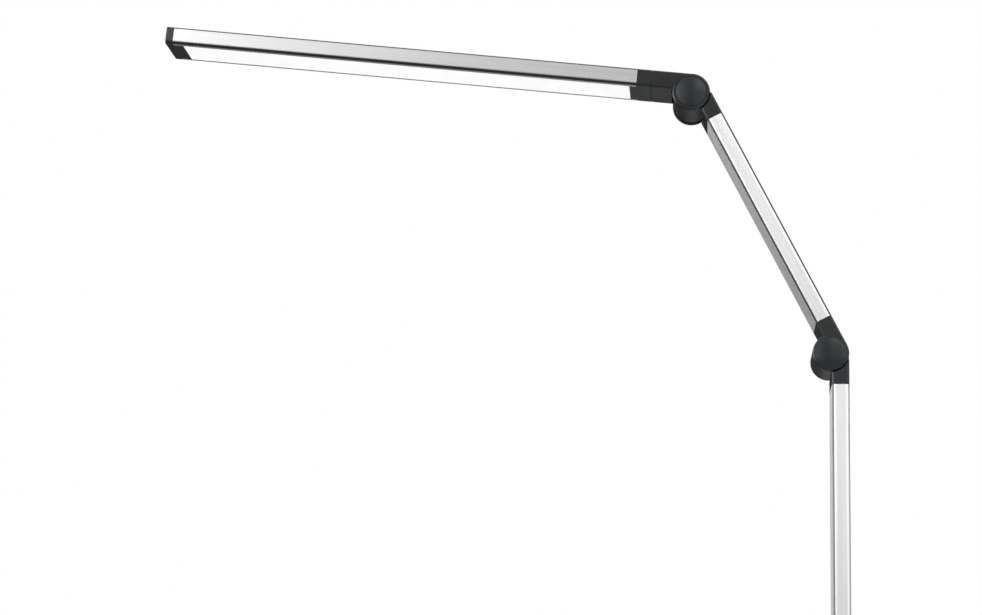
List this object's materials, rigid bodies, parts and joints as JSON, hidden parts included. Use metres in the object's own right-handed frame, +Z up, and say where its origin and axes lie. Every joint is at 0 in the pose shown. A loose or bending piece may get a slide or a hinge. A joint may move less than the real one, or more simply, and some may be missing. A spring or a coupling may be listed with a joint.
{
  "type": "clamp-on swing-arm lamp",
  "caption": "Clamp-on swing-arm lamp: flat aluminium arms on black friction hinges carry a swivelling LED light bar, held by a screw clamp.",
  "frame": {"origin": "middle of the upper jaw pad's seat, on the axis that the lamp swivels about", "axes": "+Z up, -X out over the table that the clamp grips, Y along the hinge axes"},
  "size_m": [0.6296, 0.062, 0.883],
  "materials": {
    "aluminium": "satin silver anodised",
    "black_plastic": "fine satin moulded",
    "black_casting": "die-cast aluminium, satin black powder coat",
    "steel": "zinc plated",
    "bronze": "sintered",
    "rubber": "matt",
    "fibre": "matt friction lining",
    "opal_diffuser": "opal acrylic, lit evenly from behind",
    "circuit_board": "white solder mask",
    "led": "phosphor"
  },
  "bodies": {
    "clamp": {"clamp_bracket": "black_casting", "jaw_pad": "rubber", "spindle_nut": "steel", "thrust_washer": "fibre"},
    "pressure_foot": {"pressure_plate": "steel", "pressure_pad": "rubber"},
    "clamp_screw": {"clamp_spindle": "steel", "clamp_knob": "black_plastic"},
    "swivel": {"swivel_base": "black_plastic", "swivel_bolt": "steel", "swivel_washer": "steel", "cord_grommet": "rubber", "base_hinge_bush": "bronze"},
    "lower_arm": {"lower_arm_fork": "black_plastic", "lower_arm_tube": "aluminium", "lower_arm_knuckle": "black_plastic", "lower_arm_cable": "rubber", "base_hinge_bolt": "steel", "base_hinge_nut": "steel", "base_hinge_spring_washer": "steel", "base_hinge_friction_washers": "fibre", "base_hinge_caps": "black_plastic", "elbow_bush": "bronze"},
    "upper_arm": {"upper_arm_fork": "black_plastic", "upper_arm_tube": "aluminium", "upper_arm_knuckle": "black_plastic", "upper_arm_cable": "rubber", "elbow_bolt": "steel", "elbow_nut": "steel", "elbow_spring_washer": "steel", "elbow_friction_washers": "fibre", "elbow_caps": "black_plastic", "head_hinge_bush": "bronze"},
    "yoke": {"head_yoke": "black_plastic", "head_hinge_bolt": "steel", "head_hinge_nut": "steel", "head_hinge_spring_washer": "steel", "head_hinge_friction_washers": "fibre", "head_hinge_caps": "black_plastic", "head_swivel_shaft": "steel", "head_swivel_ring": "fibre", "head_swivel_spring_washer": "steel", "head_swivel_nut": "steel"},
    "light_bar": {"head_near_cap": "black_plastic", "head_housing": "aluminium", "head_far_cap": "black_plastic", "near_cap_screws": "steel", "far_cap_screws": "steel", "diffuser": "opal_diffuser", "led_board": "circuit_board", "led_chips": "led", "switch_board": "circuit_board", "button_switch": "black_plastic"},
    "button": {"power_button": "black_plastic"}
  },
  "joints": [
    {"name": "knob_turn", "type": "hinge", "parent": "pressure_foot", "child": "clamp_screw", "pos_m": [0, 0, 0], "axis": [0, 0, 1], "range_deg": [-2405, 3125]},
    {"name": "jaw_travel", "type": "slide", "parent": "clamp", "child": "pressure_foot", "axis": [0, 0, 1], "range_m": [-0.02, 0.026]},
    {"name": "base_swivel", "type": "hinge", "parent": "clamp", "child": "swivel", "pos_m": [0, 0, 0], "axis": [0, 0, 1], "range_deg": [-175, 175]},
    {"name": "base_tilt", "type": "hinge", "parent": "swivel", "child": "lower_arm", "pos_m": [0, 0, 0.04905], "axis": [0, 1, 0], "range_deg": [-70, 70]},
    {"name": "elbow", "type": "hinge", "parent": "lower_arm", "child": "upper_arm", "pos_m": [0.00607, 0, 0.449], "axis": [0, 1, 0], "range_deg": [-98, 60]},
    {"name": "head_tilt", "type": "hinge", "parent": "upper_arm", "child": "yoke", "pos_m": [-0.11295, 0, 0.68689], "axis": [0, -1, 0], "range_deg": [-85, 85]},
    {"name": "head_swivel", "type": "hinge", "parent": "yoke", "child": "light_bar", "pos_m": [-0.11192, 0, 0.69598], "axis": [-0.9937, 0, 0.1122], "range_deg": [-90, 90]},
    {"name": "power_press", "type": "slide", "parent": "light_bar", "child": "button", "axis": [-0.1122, 0, -0.9937], "range_m": [0, 0.001], "stiffness_N_per_m": 1200, "springref_m": -0.0004}
  ],
  "couplings": [
    {"joint": "knob_turn", "follows": "jaw_travel", "rad_per_m": 2094.4}
  ]
}
